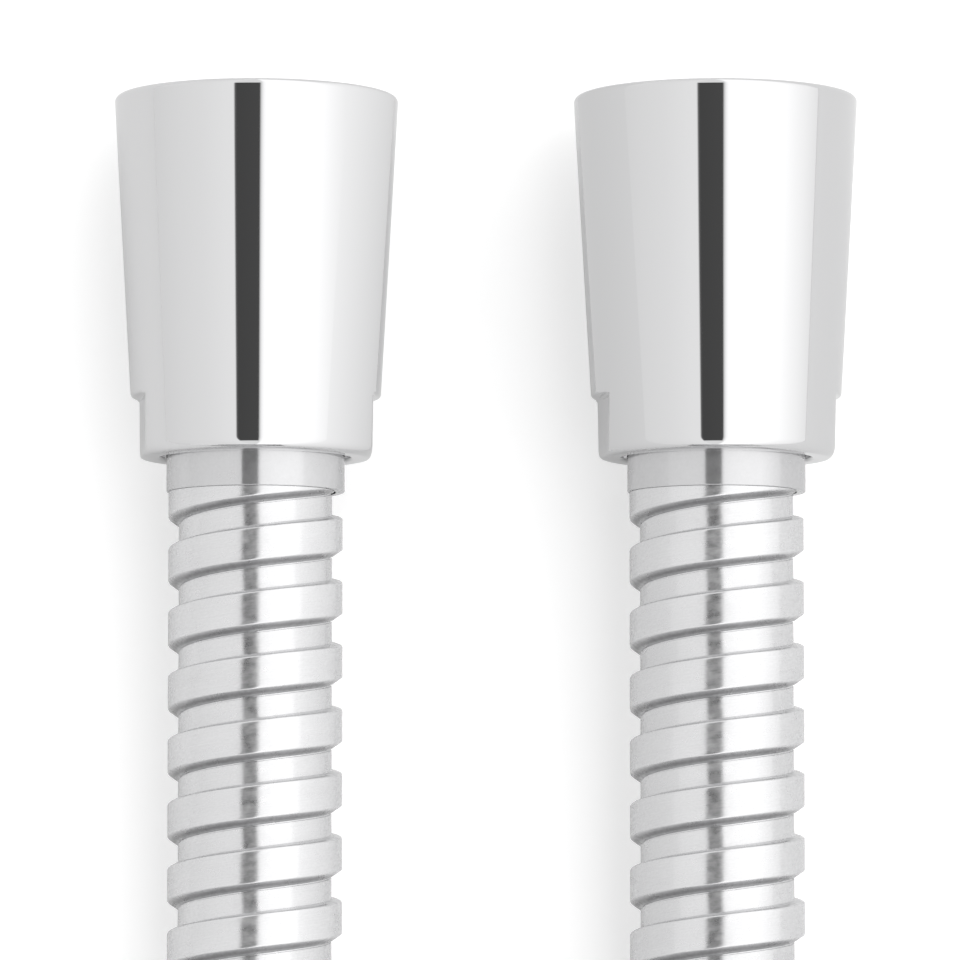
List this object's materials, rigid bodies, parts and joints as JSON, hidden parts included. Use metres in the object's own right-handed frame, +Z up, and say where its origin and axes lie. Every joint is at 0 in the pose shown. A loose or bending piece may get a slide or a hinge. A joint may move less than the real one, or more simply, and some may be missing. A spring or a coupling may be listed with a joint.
{
  "type": "shower hose",
  "caption": "Shower hose: spiral metal armour over an inner tube, with a loose conical swivel nut, washer, barbed tail and ferrule at each end, lying coiled.",
  "frame": {"origin": "on the floor under the middle of the two end fittings as they lie side by side, at the centre of their bounding box seen from above", "axes": "+Z up; +X from the left end to the right end; +Y the way the nuts' mouths point, so the hose runs off towards -Y to its coil"},
  "size_m": [0.1714, 0.281, 0.0291],
  "materials": {
    "polished_chrome": "mirror polished chrome plate",
    "satin_armour": "satin, brushed along the strip",
    "turned_brass": "turned",
    "rubber": "matt",
    "nylon": "moulded",
    "inner_tube": "extruded"
  },
  "bodies": {
    "root": {"left_sealing_washer": "rubber", "left_hose_tail": "turned_brass", "left_end_ferrule": "polished_chrome", "left_inner_hose_end": "inner_tube", "left_hose_run": "satin_armour", "coiled_hose": "satin_armour", "right_hose_run": "satin_armour", "right_inner_hose_end": "inner_tube", "right_end_ferrule": "polished_chrome", "right_hose_tail": "turned_brass", "right_sealing_washer": "rubber"},
    "left_slip_ring": {"left_slip_ring": "nylon"},
    "left_nut": {"left_cone_nut": "polished_chrome"},
    "right_slip_ring": {"right_slip_ring": "nylon"},
    "right_nut": {"right_cone_nut": "polished_chrome"}
  },
  "joints": [
    {"name": "left_nut_slide", "type": "slide", "parent": "root", "child": "left_slip_ring", "axis": [0, -0.9984, -0.0558], "range_m": [0, 0.025]},
    {"name": "left_nut_spin", "type": "hinge", "parent": "left_slip_ring", "child": "left_nut", "pos_m": [-0.0192, 0.01646, 0.01183], "axis": [0, 0.9984, 0.0558], "continuous": true},
    {"name": "right_nut_slide", "type": "slide", "parent": "root", "child": "right_slip_ring", "axis": [0, -0.9984, -0.0558], "range_m": [0, 0.025]},
    {"name": "right_nut_spin", "type": "hinge", "parent": "right_slip_ring", "child": "right_nut", "pos_m": [0.0192, 0.01646, 0.01183], "axis": [0, 0.9984, 0.0558], "continuous": true}
  ]
}
